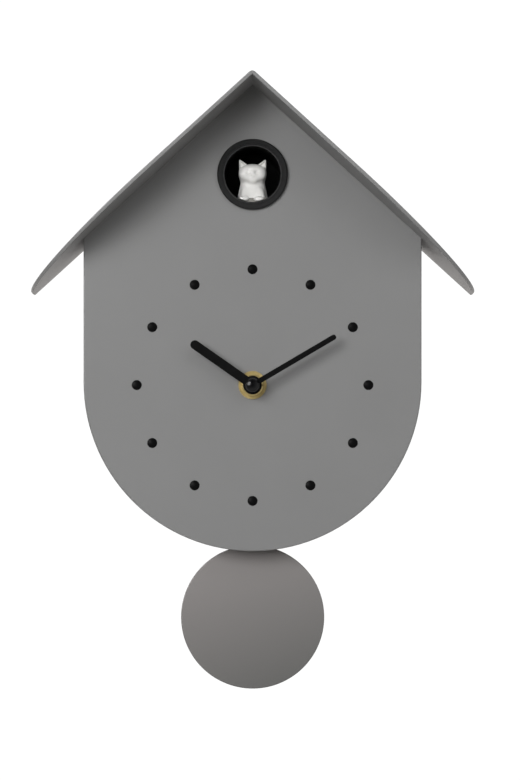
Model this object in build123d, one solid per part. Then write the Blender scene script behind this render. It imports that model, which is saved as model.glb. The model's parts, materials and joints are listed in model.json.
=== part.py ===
from build123d import *
from math import acos, atan2, cos, degrees, pi, radians, sin, sqrt, tan
import os

# A wall-hung quartz cuckoo clock: a folded steel house whose white cat comes out
# of a round window on the hour, and a disc pendulum that hangs through the foot.
#
# Sizes are in millimetres. Pieces are drawn about the hands' axis: x runs to the
# viewer's right, y from the room into the wall, z up, and the wall is y = 0.
# place() then moves each one so that the hanging point is the origin.

# Case and roof
case_depth = 55.0          # wall to the face of the front panel
case_half_width = 93.0     # also the radius of the round foot
foot_rise = 1.6            # centre of the round foot above the hands' axis
case_sheet = 1.5           # steel of the front panel and the side band
panel_edge = 0.8           # rounding of the front panel's outer edge
roof_overhang = 45.0       # roof in front of the front panel
roof_pitch = 42.3          # degrees
ridge_rise = 165.2         # underside of the ridge above the hands' axis
roof_half_span = 126.3     # ridge to eave, level
roof_sheet = 2.0
roof_edge = 0.5            # rounding along the cut edges of the roof
ridge_bend = 2.4           # outer radius of the fold
eave_radius = 96.0         # plan radius of the roof's front corners
back_sheet = 2.0           # thickness of the back panel
fit_gap = 0.3              # loose fit between pieces that are pushed together
press_gap = 0.02           # tight fit of a pin or screw in its hole
run_gap = 0.05             # radial play of a turning shaft

# Back panel fixings and hanger
tab_length = 12.0
tab_width = 10.0
tab_rise = 62.0            # upper pair of tabs above the hands' axis
tab_angle = 45.0           # lower pair, degrees below the level on the round foot
back_screw_radius = 1.5
back_screw_length = 8.0
back_screw_head = 2.9
keyhole_rise = 143.0       # hanging point above the hands' axis
keyhole_radius = 4.5
keyhole_neck = 5.0
keyhole_neck_height = 11.0

# Dial and hands
marker_circle = 63.7
marker_radius = 2.75
marker_height = 1.4
marker_stem = 1.0
marker_count = 12
clock_minutes = 9.92       # minutes past ten that the hands show
hour_hand_length = 40.8
hour_hand_width = 5.0
minute_hand_length = 52.7
minute_hand_width = 2.9
hand_sheet = 0.9
hour_boss = 5.1
minute_boss = 4.4
cap_radius = 3.85
cap_height = 5.4
hand_gap = 1.3             # clear space between one hand and the next

# Centre arbor, nut and bush
bush_radius = 4.0
pipe_radius = 2.5
arbor_radius = 1.5
washer_radius = 7.75
washer_thick = 0.8
nut_radius = 5.9
nut_height = 2.8
pipe_stand = 6.4           # bare hour pipe between the bush and the hour hand
bush_flange = 6.0
bush_flange_thick = 0.8

# Quartz movement and its motion work
gasket_thick = 1.0
gasket_radius = 10.0
movement_depth = 16.0
movement_wall = 1.6
motion_centre = 14.4       # centre arbor to minute-wheel arbor
pinion_teeth = 12
minute_wheel_teeth = 36
hour_wheel_teeth = 48
wheel_thick = 1.2
pinion_thick = 2.0
pressure_angle = 25.0      # degrees
tooth_top = 0.9            # in modules
tooth_root = 1.2           # in modules
backlash = 0.12
side_gap = 0.4             # end float of the wheels
knob_radius = 7.0
knob_height = 6.0
knob_recess = 0.6          # knob's face below the wall plane
knob_sleeve = 3.0
knob_flutes = 24
coin_slot = 1.6
crystal_radius = 1.5
crystal_height = 3.0

# Pendulum
pivot_rise = 22.0
pivot_radius = 1.5
swing = 6.0                # degrees each way
hanger_thick = 2.5
hanger_width = 8.0
hanger_foot = 27.0         # hanger's lower end below the hands' axis
magnet_drop = 19.0
magnet_radius = 3.2
rod_width = 6.0
rod_thick = 1.2
bob_radius = 40.0
bob_thick = 2.0
bob_edge = 0.5
bob_entry = 1.9            # bob's top inside the outline of the foot
slot_gap = 1.5

# Cuckoo window, figure and drive
window_rise = 115.8
window_radius = 15.5
tunnel_wall = 1.6
bezel_radius = 19.4
bezel_height = 3.0
bezel_edge = 0.8
lip_wall = 0.6             # tunnel's own rim inside the bezel's ring
lip_setback = 0.4
lip_groove = 0.5
groove_depth = 1.0
retainer_radius = 20.0
retainer_thick = 3.0
sled_drop = 12.9           # sled's deck below the window's centre
sled_setback = 2.7         # sled's nose behind the bezel's face
sled_gap = 0.4
figure_setback = 11.5      # cat's centre behind the bezel's face
figure_height = 19.05      # to the crown between the ears
figure_base = 8.2
figure_waist = 6.5
figure_head = 7.45
neck_rise = 8.5            # narrowest place above the deck
cheek_rise = 13.4          # widest place of the head above the deck
ear_spread = 6.7
ear_height = 21.3
ear_inner = 2.9            # inner foot of each ear from the centre plane
ear_foot = 15.8
ear_tip = 0.9
ear_thick = 2.4
muzzle_radius = 2.2
muzzle_rise = 10.9
paw_radius = 2.2
paw_spread = 4.7
paw_rise = 1.3
figure_travel = 26.0
rack_module = 0.5
rack_width = 5.6
drive_pinion_teeth = 20
drive_wheel_teeth = 36
motor_pinion_teeth = 12
drive_wheel_left = 15.5    # drive wheel's near face from the centre plane
drive_wheel_thick = 2.0
axle_radius = 1.0
frame_wall = 2.0
motor_radius = 7.5
motor_length = 18.0
stud_radius = 1.5
stud_length = 6.5
nut_flat = 5.5
nut_thick = 2.4

# Sound unit and batteries
board_x, board_z = -50.0, 40.0
board_width, board_height, board_thick = 50.0, 32.0, 1.6
standoff_height = 7.0
standoff_radius = 2.5
board_screw_radius = 1.0
board_margin = 4.0
switch_x, switch_z = -62.0, 32.0
switch_travel = 2.0        # each way
lever_half = 1.2
lever_tall = 2.0
lever_root = 2.0           # lever's depth inside the switch
switch_wall = 1.2
speaker_x, speaker_z = -52.0, -14.0
speaker_radius = 20.0
speaker_depth = 8.0
speaker_wall = 0.8
cone_paper = 0.5
speaker_magnet_radius = 10.0
speaker_magnet_height = 5.0
grille_hole = 1.5
grille_pitch = 5.5
battery_x, battery_z = 48.0, -16.0
cell_radius = 7.25
cell_length = 49.2
cell_cap = 1.2             # height of the cell's raised head
cell_count = 2
cell_pitch = 15.2
contact_room = 3.6         # holder's space at each end of a cell
contact_sheet = 0.4
holder_wall = 1.5
holder_flange = 5.0
door_rim = 1.2
door_rim_depth = 2.5
door_gap = 0.3

# Worked-out places, all from the sizes above
pitch = radians(roof_pitch)
front = -case_depth
panel_back = front + case_sheet
back_inside = -back_sheet
roof_front = front - roof_overhang
inner_half = case_half_width - case_sheet

movement_front = panel_back + gasket_thick
movement_inside = movement_front + movement_wall
movement_back = movement_front + movement_depth
cover_inside = movement_back - movement_wall
minute_module = 2 * motion_centre / (pinion_teeth + minute_wheel_teeth)
hour_module = 2 * motion_centre / (pinion_teeth + hour_wheel_teeth)
minute_wheel_tip = minute_module * (minute_wheel_teeth / 2 + tooth_top)
movement_half = motion_centre + minute_wheel_tip + side_gap + movement_wall
hour_wheel_front = movement_inside + bush_flange_thick + side_gap
minute_wheel_front = hour_wheel_front + wheel_thick + pinion_thick

nut_front = front - washer_thick - nut_height
bush_front = nut_front - side_gap
hour_hand_back = bush_front - pipe_stand
hour_hand_front = hour_hand_back - hand_sheet
pipe_front = hour_hand_front - side_gap
minute_hand_back = hour_hand_front - hand_gap
minute_hand_front = minute_hand_back - hand_sheet
cap_front = minute_hand_front - cap_height

hanger_front = movement_back + side_gap * 2
hanger_back = hanger_front + hanger_thick
rod_back = hanger_back + rod_thick
bob_front = hanger_back - bob_thick
foot_bottom = foot_rise - case_half_width
bob_z = foot_bottom + bob_entry - bob_radius
pendulum_length = pivot_rise - bob_z
bob_chord = sqrt(2 * bob_entry / (1 / case_half_width + 1 / bob_radius))
slot_half = pendulum_length * sin(radians(swing)) + bob_chord + slot_gap

bezel_front = front - bezel_height
tunnel_outer = window_radius + tunnel_wall
tunnel_back = back_inside - tunnel_wall
tunnel_inside = tunnel_back - tunnel_wall
sled_top = window_rise - sled_drop
sled_radius = window_radius - sled_gap
sled_front = bezel_front + sled_setback
sled_back = tunnel_inside - sled_gap * 2
figure_y = bezel_front + figure_setback
pinion_pitch = rack_module * drive_pinion_teeth / 2
wheel_pitch = rack_module * drive_wheel_teeth / 2
motor_pitch = rack_module * motor_pinion_teeth / 2
rack_grip = pinion_pitch * 0.75
axle_y = sled_back - figure_travel - rack_grip
rack_tip = window_rise - sled_radius + sled_gap / 2
rack_line = rack_tip + tooth_top * rack_module
rack_root = rack_line + tooth_root * rack_module
axle_z = rack_line - pinion_pitch
motor_z = axle_z - wheel_pitch - motor_pitch
drive_wheel_right = drive_wheel_left + drive_wheel_thick
cheek_left = rack_width / 2 + side_gap * 3
cheek_right = drive_wheel_right + side_gap * 3
frame_back = panel_back + frame_wall
frame_top = window_rise - retainer_radius - fit_gap * 2
frame_bottom = motor_z - motor_radius
motor_left = cheek_right + frame_wall
stud_xs = (-cheek_left - frame_wall - nut_flat, cheek_right + frame_wall + nut_flat)
stud_z = (frame_top + frame_bottom) / 2

board_back = back_inside - standoff_height
board_front = board_back - board_thick
holder_inner_width = cell_pitch * cell_count
holder_inner_height = cell_length + 2 * contact_room
holder_width = holder_inner_width + 2 * holder_wall
holder_height = holder_inner_height + 2 * holder_wall
cell_y = back_inside - fit_gap - cell_radius
holder_floor = cell_y - cell_radius - fit_gap
holder_front = holder_floor - holder_wall


# Drawing helpers

def slab(outline, near, far):
    """An outline drawn in x and z as a solid between two depths, near being the room side."""
    return extrude(Plane.XZ.offset(-far) * outline, amount=far - near)


def rod_y(radius, near, far, x=0.0, z=0.0):
    """A round bar along y."""
    return slab(Pos(x, z) * Circle(radius), near, far)


def tube_y(outer, inner, near, far, x=0.0, z=0.0):
    """A round tube along y."""
    return slab(Pos(x, z) * (Circle(outer) - Circle(inner)), near, far)


def along_x(outline, left, right):
    """An outline drawn in y and z as a solid between two widths."""
    return extrude(Plane.YZ.offset(left) * outline, amount=right - left)


def rod_x(radius, left, right, y, z):
    """A round bar along x."""
    return along_x(Pos(y, z) * Circle(radius), left, right)


def block(x0, x1, y0, y1, z0, z1):
    """A box between two corners."""
    centre = Pos((x0 + x1) / 2, (y0 + y1) / 2, (z0 + z1) / 2)
    return centre * Box(x1 - x0, y1 - y0, z1 - z0)


def turned_y(points, x=0.0, z=0.0):
    """A closed profile of (radius, y) points turned about an axis along y."""
    profile = make_face(Polyline(*points, close=True))
    return Pos(x, 0, z) * revolve(profile, Axis.Y)


def polar(radius, angle):
    """A point at a radius and an angle in radians, from +x towards the second axis."""
    return (radius * cos(angle), radius * sin(angle))


def involute(angle):
    return tan(angle) - angle


def gear_outline(teeth, module, turn=0.0):
    """An involute gear with a tooth centred at the angle turn, in radians."""
    pitch_radius = module * teeth / 2
    base = pitch_radius * cos(radians(pressure_angle))
    tip = pitch_radius + tooth_top * module
    root = pitch_radius - tooth_root * module
    half_tooth = (pi * module / 2 - backlash) / (2 * pitch_radius)
    at_base = half_tooth + involute(radians(pressure_angle))
    start = max(base, root)
    radii = [start, (start + tip) / 2, tip]
    flank = [(r, at_base - involute(acos(min(1.0, base / r)))) for r in radii]
    flank = [(root, flank[0][1])] + flank if root < base else flank
    points = []
    for tooth in range(teeth):
        middle = turn + 2 * pi * tooth / teeth
        points += [polar(r, middle - half) for r, half in flank]
        points += [polar(r, middle + half) for r, half in reversed(flank)]
    return make_face(Polyline(*points, close=True))


def place(shape):
    """Moves a piece from the hands' axis to the frame whose origin is the hanging point."""
    return Pos(0, 0, -keyhole_rise) * shape


def group(shapes):
    """Separate solids that share a node."""
    return Compound(children=[solid for shape in shapes for solid in shape.solids()])


# Case

def house_outline(inset):
    """The case seen from the front: gable, straight sides and round foot, taken in by inset."""
    half = case_half_width - inset
    top = ridge_rise - inset / cos(pitch)
    shoulder = top - half * tan(pitch)
    gable = Polyline(
        (half, foot_rise), (half, shoulder), (0, top), (-half, shoulder), (-half, foot_rise)
    )
    foot = ThreePointArc((-half, foot_rise), (0, foot_rise - half), (half, foot_rise))
    return make_face(gable.edges() + foot.edges())


def marker_places():
    return [polar(marker_circle, 2 * pi * n / marker_count) for n in range(marker_count)]


def front_panel():
    panel = slab(house_outline(0), front, panel_back)
    shoulder = ridge_rise - case_half_width * tan(pitch)
    face = panel.faces().sort_by(Axis.Y)[0]
    rim = [edge for edge in face.edges() if edge.center().Z < shoulder]
    panel = fillet(rim, panel_edge)
    panel -= rod_y(bush_radius + fit_gap, front, panel_back)
    panel -= rod_y(tunnel_outer + fit_gap, front, panel_back, z=window_rise)
    for x, z in marker_places():
        panel -= rod_y(marker_stem + press_gap, front, panel_back, x, z)
    return panel


def side_band():
    """Sides and round foot in one bent strip, with the pendulum's slot in the foot."""
    clear_top = ridge_rise - foot_rise
    inside = Circle(inner_half) + Pos(0, clear_top / 2) * Rectangle(2 * inner_half, clear_top)
    band = slab(house_outline(0) - Pos(0, foot_rise) * inside, panel_back, 0)
    slot = block(
        -slot_half, slot_half, bob_front - slot_gap, rod_back + slot_gap,
        foot_bottom - case_sheet, foot_bottom + case_half_width / 2,
    )
    return band - slot


def roof():
    slope = (cos(pitch), -sin(pitch))
    normal = (sin(pitch), cos(pitch))
    outer_ridge = ridge_rise + roof_sheet / cos(pitch)
    eave_z = outer_ridge - roof_half_span * tan(pitch)
    lower = (roof_half_span - roof_sheet * normal[0], eave_z - roof_sheet * normal[1])
    half = [lower, (roof_half_span, eave_z)]
    mirrored = [(-x, z) for x, z in reversed(half)]
    profile = Polyline((0, ridge_rise), *half, (0, outer_ridge), *mirrored, close=True)
    sheet = slab(make_face(profile), roof_front, 0)
    ridge = sheet.edges().filter_by(Axis.Y).sort_by(Axis.Z)[-1]
    sheet = fillet(ridge, ridge_bend)
    waste = Rectangle(eave_radius, eave_radius, align=Align.MIN)
    waste -= Pos(eave_radius, eave_radius) * Circle(eave_radius)
    for side in (1, -1):
        corner = Plane(
            origin=(side * roof_half_span, roof_front, eave_z),
            x_dir=(-side * slope[0], 0, -slope[1]),
            z_dir=(-side * normal[0], 0, -normal[1]),
        )
        flat = waste if side > 0 else mirror(waste, Plane.XZ)
        sheet -= extrude(corner * flat, amount=roof_sheet * 2, both=True)
    rim = [edge for edge in sheet.edges() if edge.center().Y < -roof_edge]
    rim = [edge for edge in rim if edge.length > 1.01 * roof_sheet]
    rim = [edge for edge in rim if edge.length < -roof_front - roof_edge or abs(edge.center().X) > ridge_bend]
    return fillet(rim, roof_edge)


# Back panel and its fixings

def screw_places():
    reach = inner_half - tab_length / 2
    level = [(side * reach, tab_rise) for side in (1, -1)]
    angle = radians(tab_angle)
    low = [(side * reach * cos(angle), foot_rise - reach * sin(angle)) for side in (1, -1)]
    return level + low


def back_tabs():
    """Steel tabs welded inside the band, tapped for the back panel's screws."""
    near = back_inside - case_sheet
    tabs = []
    for side in (1, -1):
        strip = Pos(side * (inner_half - tab_length / 2), tab_rise) * Rectangle(tab_length, tab_width)
        tabs.append(slab(strip, near, back_inside))
        blank = Pos(inner_half - tab_length / 2, 0) * Rectangle(tab_length, tab_width)
        turn = -tab_angle if side > 0 else tab_angle - 180
        low = Pos(0, foot_rise) * (Rot(0, 0, turn) * blank & Circle(inner_half))
        tabs.append(slab(low, near, back_inside))
    holes = [rod_y(back_screw_radius + press_gap, near, 0, x, z) for x, z in screw_places()]
    return group([tab - holes for tab in tabs])


def back_screws():
    cone = back_screw_head - back_screw_radius
    profile = [
        (0, 0), (back_screw_head, 0), (back_screw_radius, -cone),
        (back_screw_radius, -back_screw_length), (0, -back_screw_length),
    ]
    return group([turned_y(profile, x, z) for x, z in screw_places()])


def grille_places():
    """A round field of holes on a square grid in front of the speaker."""
    reach = speaker_radius - speaker_wall - grille_pitch
    rows = int(reach / grille_pitch)
    steps = range(-rows, rows + 1)
    field = [(i * grille_pitch, j * grille_pitch) for i in steps for j in steps]
    return [(speaker_x + x, speaker_z + z) for x, z in field if sqrt(x * x + z * z) <= reach]


def back_panel():
    panel = slab(house_outline(case_sheet + fit_gap), back_inside, 0)
    head = back_screw_head + fit_gap
    hole = back_screw_radius + fit_gap
    sink = [(0, 0), (head, 0), (hole, hole - head), (hole, back_inside), (0, back_inside)]
    cuts = [turned_y(sink, x, z) for x, z in screw_places()]
    neck = Pos(0, keyhole_rise + (keyhole_neck_height - keyhole_neck / 2) / 2)
    neck *= Rectangle(keyhole_neck, keyhole_neck_height - keyhole_neck / 2)
    neck += Pos(0, keyhole_rise + keyhole_neck_height - keyhole_neck / 2) * Circle(keyhole_neck / 2)
    keyhole = neck + Pos(0, keyhole_rise) * Circle(keyhole_radius)
    cuts.append(slab(keyhole, back_inside, 0))
    cuts.append(rod_y(knob_radius + fit_gap * 2, back_inside, 0, -motion_centre, 0))
    lever_slot = Rectangle(2 * (switch_travel + lever_half + fit_gap), lever_tall + 2 * fit_gap)
    cuts.append(slab(Pos(switch_x, switch_z) * lever_slot, back_inside, 0))
    door = Pos(battery_x, battery_z) * Rectangle(holder_width, holder_height)
    cuts.append(slab(door, back_inside, 0))
    cuts += [rod_y(grille_hole, back_inside, 0, x, z) for x, z in grille_places()]
    for x, z in standoff_places():
        cuts.append(rod_y(board_screw_radius + press_gap, back_inside, 0, x, z))
    return panel - cuts


# Dial

def hour_markers():
    """Domed black pins pressed into the front panel."""
    dome_radius = (marker_radius ** 2 + marker_height ** 2) / (2 * marker_height)
    mid = dome_radius * sin(acos(1 - marker_height / dome_radius) / 2)
    mid_height = marker_height - dome_radius + sqrt(dome_radius ** 2 - mid ** 2)
    dome = ThreePointArc((marker_radius, front), (mid, front - mid_height), (0, front - marker_height))
    stem = Polyline(
        (0, front - marker_height), (0, panel_back), (marker_stem, panel_back),
        (marker_stem, front), (marker_radius, front),
    )
    pin = revolve(make_face(dome.edges() + stem.edges()), Axis.Y)
    return group([Pos(x, 0, z) * pin for x, z in marker_places()])


def hand(length, width, boss, bore, near, far, clock_angle):
    """A round-ended hand on a round boss, turned clockwise from twelve by clock_angle degrees."""
    blade = Pos(0, (length - width / 2) / 2) * Rectangle(width, length - width / 2)
    blade += Pos(0, length - width / 2) * Circle(width / 2)
    outline = Rot(0, 0, -clock_angle) * (blade + Circle(boss)) - Circle(bore)
    return slab(outline, near, far)


def hour_hand():
    angle = 30 * (10 + clock_minutes / 60)
    bore = pipe_radius + press_gap
    return hand(
        hour_hand_length, hour_hand_width, hour_boss, bore, hour_hand_front, hour_hand_back, angle
    )


def minute_hand():
    bore = arbor_radius + press_gap
    return hand(
        minute_hand_length, minute_hand_width, minute_boss, bore,
        minute_hand_front, minute_hand_back, 6 * clock_minutes,
    )


def hand_cap():
    """Ball cap pushed on the end of the centre arbor."""
    ball_y = cap_front + cap_radius
    ball = Pos(0, ball_y, 0) * Sphere(cap_radius)
    wide = 2 * cap_radius
    ball -= block(-wide, wide, minute_hand_front, ball_y + wide, -wide, wide)
    return ball - rod_y(arbor_radius + press_gap, ball_y, minute_hand_front)


def arbor_washer():
    return tube_y(washer_radius, bush_radius + fit_gap, front - washer_thick, front)


def arbor_nut():
    """Round brass dial nut with a turned bevel and two spanner notches."""
    bevel = nut_radius / 6
    base = front - washer_thick
    profile = [
        (bush_radius + press_gap, base), (nut_radius, base), (nut_radius, nut_front + bevel),
        (nut_radius - bevel, nut_front), (bush_radius + press_gap, nut_front),
    ]
    notch = block(-nut_radius, nut_radius, nut_front, nut_front + bevel, -bevel / 2, bevel / 2)
    return turned_y(profile) - notch


# Movement

def panel_gasket():
    return tube_y(gasket_radius, bush_radius + fit_gap, panel_back, movement_front)


def centre_bush():
    bore = pipe_radius + run_gap
    flange_back = movement_inside + bush_flange_thick
    profile = [
        (bore, bush_front), (bush_radius, bush_front), (bush_radius, movement_inside),
        (bush_flange, movement_inside), (bush_flange, flange_back), (bore, flange_back),
    ]
    return turned_y(profile)


def movement_case():
    """Front half of the movement: an open box that the bush and the wheels sit in."""
    outer = RectangleRounded(2 * movement_half, 2 * movement_half, 2 * movement_wall)
    inner_half_size = movement_half - movement_wall
    inner = RectangleRounded(2 * inner_half_size, 2 * inner_half_size, movement_wall)
    shell = slab(outer, movement_front, cover_inside) - slab(inner, movement_inside, cover_inside)
    shell -= rod_y(bush_radius + press_gap, movement_front, movement_inside)
    return shell - rod_y(arbor_radius / 2 + run_gap, movement_front, movement_inside, -motion_centre, 0)


def movement_cover():
    outline = RectangleRounded(2 * movement_half, 2 * movement_half, 2 * movement_wall)
    cover = slab(outline, cover_inside, movement_back)
    cover -= rod_y(arbor_radius / 2 + run_gap, cover_inside, movement_back)
    cover -= rod_y(arbor_radius + run_gap, cover_inside, movement_back, -motion_centre, 0)
    return cover - rod_y(pivot_radius + press_gap, cover_inside, movement_back, 0, pivot_rise)


def minute_arbor():
    """Centre arbor with its pinion, from the rear bearing to the ball cap."""
    pinion_front = minute_wheel_front - side_gap
    arbor = rod_y(arbor_radius, cap_front + cap_radius, cover_inside - side_gap)
    arbor += rod_y(arbor_radius / 2, cover_inside - side_gap, movement_back)
    pinion = gear_outline(pinion_teeth, minute_module, pi)
    return arbor + slab(pinion, pinion_front, pinion_front + pinion_thick)


def hour_wheel():
    """Hour wheel on its pipe, which runs on the centre arbor."""
    wheel = gear_outline(hour_wheel_teeth, hour_module, pi) + Circle(pipe_radius)
    solid = slab(wheel, hour_wheel_front, hour_wheel_front + wheel_thick)
    solid += rod_y(pipe_radius, pipe_front, hour_wheel_front)
    return solid - rod_y(arbor_radius + run_gap, pipe_front, hour_wheel_front + wheel_thick)


def minute_wheel():
    """Minute wheel and pinion on the arbor that the setting knob turns."""
    wheel = gear_outline(minute_wheel_teeth, minute_module, pi / minute_wheel_teeth)
    pinion = gear_outline(pinion_teeth, hour_module, pi / pinion_teeth)
    shift = Pos(-motion_centre, 0)
    solid = slab(shift * wheel, minute_wheel_front, minute_wheel_front + wheel_thick)
    pinion_front = hour_wheel_front - side_gap
    solid += slab(shift * pinion, pinion_front, minute_wheel_front)
    solid += rod_y(arbor_radius, minute_wheel_front, movement_back + knob_sleeve, -motion_centre)
    return solid + rod_y(arbor_radius / 2, movement_front + side_gap, pinion_front, -motion_centre)


def setting_knob():
    """Long-stemmed knob that is turned with a coin from the back."""
    near = movement_back + side_gap
    far = -knob_recess
    solid = rod_y(knob_sleeve, near, far, -motion_centre)
    knob = Circle(knob_radius)
    for n in range(knob_flutes):
        x, z = polar(knob_radius, 2 * pi * n / knob_flutes)
        knob -= Pos(x, z) * Circle(coin_slot / 4)
    solid += slab(Pos(-motion_centre, 0) * knob, far - knob_height, far)
    solid -= rod_y(arbor_radius + press_gap, near, movement_back + knob_sleeve, -motion_centre)
    slot = Pos(-motion_centre, 0) * Rectangle(1.6 * knob_radius, coin_slot)
    return solid - slab(slot, far - knob_height / 3, far)


def stepper_module():
    """Sealed stepping motor and reduction gear that drive the centre arbor."""
    left = hour_module * (hour_wheel_teeth / 2 + tooth_top) + side_gap
    right = movement_half - movement_wall - side_gap
    tall = movement_half - 2 * movement_wall
    far = cover_inside - side_gap
    body = block(left, right, movement_inside, far, -tall, tall)
    return chamfer(body.edges().filter_by(Axis.Y), movement_wall)


def movement_board():
    """Quartz circuit board with its crystal can, seated on the cover."""
    far = cover_inside
    near = far - board_thick
    low = movement_half * 0.45
    high = movement_half - 2 * movement_wall
    reach = movement_half - 2 * movement_wall
    board = block(-reach, 0, near, far, low, high)
    board -= rod_y(pivot_radius + side_gap, near, far, 0, pivot_rise)
    return board + rod_y(crystal_radius, near - crystal_height, near, -reach / 2, (low + high) / 2)


def pendulum_coil():
    """Coil that nudges the pendulum's magnet, on a spool seated on the cover."""
    length = movement_depth / 4
    near = cover_inside - length
    flange = length / 6
    outer = 2 * magnet_radius
    core = outer - flange * 2
    profile = [
        (magnet_radius / 2, near), (outer, near), (outer, near + flange), (core, near + flange),
        (core, cover_inside - flange), (outer, cover_inside - flange), (outer, cover_inside),
        (magnet_radius / 2, cover_inside),
    ]
    return turned_y(profile, 0, -magnet_drop)


# Pendulum

def pendulum_pivot():
    return rod_y(pivot_radius, cover_inside, rod_back + side_gap, 0, pivot_rise)


def pivot_clip():
    """Spring clip on the end of the pivot that keeps the hanger on."""
    near = hanger_back + side_gap / 2
    return tube_y(2 * pivot_radius, pivot_radius + press_gap, near, rod_back, 0, pivot_rise)


def pendulum_hanger():
    """Moulded arm that swings on the pivot and holds the magnet and the rod."""
    eye = 3 * pivot_radius
    bar = Pos(0, (pivot_rise - hanger_foot) / 2) * Rectangle(hanger_width, pivot_rise + hanger_foot)
    outline = bar + Pos(0, pivot_rise) * Circle(eye) + Pos(0, -hanger_foot) * Circle(hanger_width / 2)
    arm = slab(outline, hanger_front, hanger_back)
    arm -= rod_y(pivot_radius + run_gap, hanger_front, hanger_back, 0, pivot_rise)
    pocket = hanger_front + hanger_thick * 0.7
    arm -= rod_y(magnet_radius + press_gap, hanger_front, pocket, 0, -magnet_drop)
    stud = pivot_radius
    head = rod_back + run_gap * 2
    arm += rod_y(stud, hanger_back, head, 0, -hanger_foot)
    return arm + rod_y(stud * 1.7, head, head + stud / 2, 0, -hanger_foot)


def pendulum_magnet():
    return rod_y(magnet_radius, hanger_front, hanger_front + hanger_thick * 0.7, 0, -magnet_drop)


def bob_stud_places():
    return [bob_z + bob_radius / 3, bob_z - bob_radius / 3]


def pendulum_rod():
    """Flat steel strip, hooked on the hanger's stud and fixed behind the bob."""
    top = rod_width / 2 - hanger_foot
    bottom = bob_z - bob_radius / 2
    strip = Pos(0, (top + bottom) / 2) * Rectangle(rod_width, top - bottom)
    strip -= Pos(0, -hanger_foot) * Circle(pivot_radius + run_gap)
    for z in bob_stud_places():
        strip -= Pos(0, z) * Circle(pivot_radius * 0.8 + run_gap)
    return slab(strip, hanger_back, rod_back)


def pendulum_bob():
    """Painted disc with two studs welded to its back."""
    disc = rod_y(bob_radius, bob_front, hanger_back, 0, bob_z)
    disc = fillet(disc.edges().filter_by(GeomType.CIRCLE), bob_edge)
    for z in bob_stud_places():
        disc += rod_y(pivot_radius * 0.8, hanger_back, rod_back + 2 * rod_thick, 0, z)
    return disc


def bob_clips():
    inner = pivot_radius * 0.8 + press_gap
    return group([
        tube_y(rod_width / 2, inner, rod_back, rod_back + rod_thick, 0, z) for z in bob_stud_places()
    ])


# Window, figure and drive

def window_tunnel():
    """Black bezel and tunnel in one moulding, closed at the back and open below for the pinion."""
    lip = window_radius + lip_wall
    ring = lip + lip_groove
    profile = [
        (window_radius, tunnel_inside), (window_radius, bezel_front + lip_setback),
        (lip, bezel_front + lip_setback), (lip, bezel_front + groove_depth),
        (ring, bezel_front + groove_depth), (ring, bezel_front), (bezel_radius - bezel_edge, bezel_front),
        (bezel_radius, bezel_front + bezel_edge), (bezel_radius, front), (tunnel_outer, front),
        (tunnel_outer, tunnel_back), (0, tunnel_back), (0, tunnel_inside),
    ]
    reach = pinion_pitch + tooth_top * rack_module + side_gap
    half = rack_width / 2 + side_gap
    mouth = block(-half, half, axle_y - reach, axle_y + reach, axle_z, sled_top)
    return turned_y(profile, 0, window_rise) - mouth


def tunnel_retainer():
    """Ring pushed over the tunnel from behind, which clamps the bezel to the panel."""
    near = panel_back
    return tube_y(retainer_radius, tunnel_outer + press_gap, near, near + retainer_thick, 0, window_rise)


def figure_sled():
    """Deck that slides in the tunnel on its round belly, with the rack under its tail."""
    round_part = Pos(0, window_rise) * Circle(sled_radius)
    deck = round_part & Pos(0, sled_top - sled_radius) * Rectangle(2 * sled_radius, 2 * sled_radius)
    sled = slab(deck, sled_front, sled_back)
    half = rack_width / 2
    rack_start = axle_y - rack_grip
    sled -= block(-half, half, rack_start, sled_back, window_rise - sled_radius, rack_root)
    step = pi * rack_module
    lean = tan(radians(pressure_angle))
    half_line = (step / 2 - backlash) / 2
    half_tip = half_line - tooth_top * rack_module * lean
    half_root = half_line + tooth_root * rack_module * lean
    first = axle_y + step / 2
    count = int((sled_back - first) / step)
    for n in range(count):
        y = first + n * step
        tooth = Polyline(
            (y - half_root, rack_root), (y - half_tip, rack_tip), (y + half_tip, rack_tip),
            (y + half_root, rack_root), close=True,
        )
        sled += along_x(make_face(tooth), -half, half)
    peg = figure_waist / 4
    hole = sled_top - (sled_top - window_rise + sled_radius) / 2
    return sled - Pos(0, figure_y, (sled_top + hole) / 2) * Cylinder(peg + press_gap, sled_top - hole)


def cat_ear(side):
    """One flat upright ear: a broad blunt triangle that leans out over the cheek."""
    outline = Polyline(
        (side * ear_inner, cheek_rise), (side * ear_inner, figure_height - ear_tip),
        (side * (ear_spread - ear_tip / 2), ear_height),
        (side * (ear_spread + ear_tip / 3), ear_height - ear_tip / 2),
        (side * (figure_head - ear_tip / 2), ear_foot), close=True,
    )
    return slab(make_face(outline), -ear_thick / 2, ear_thick / 2)


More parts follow.
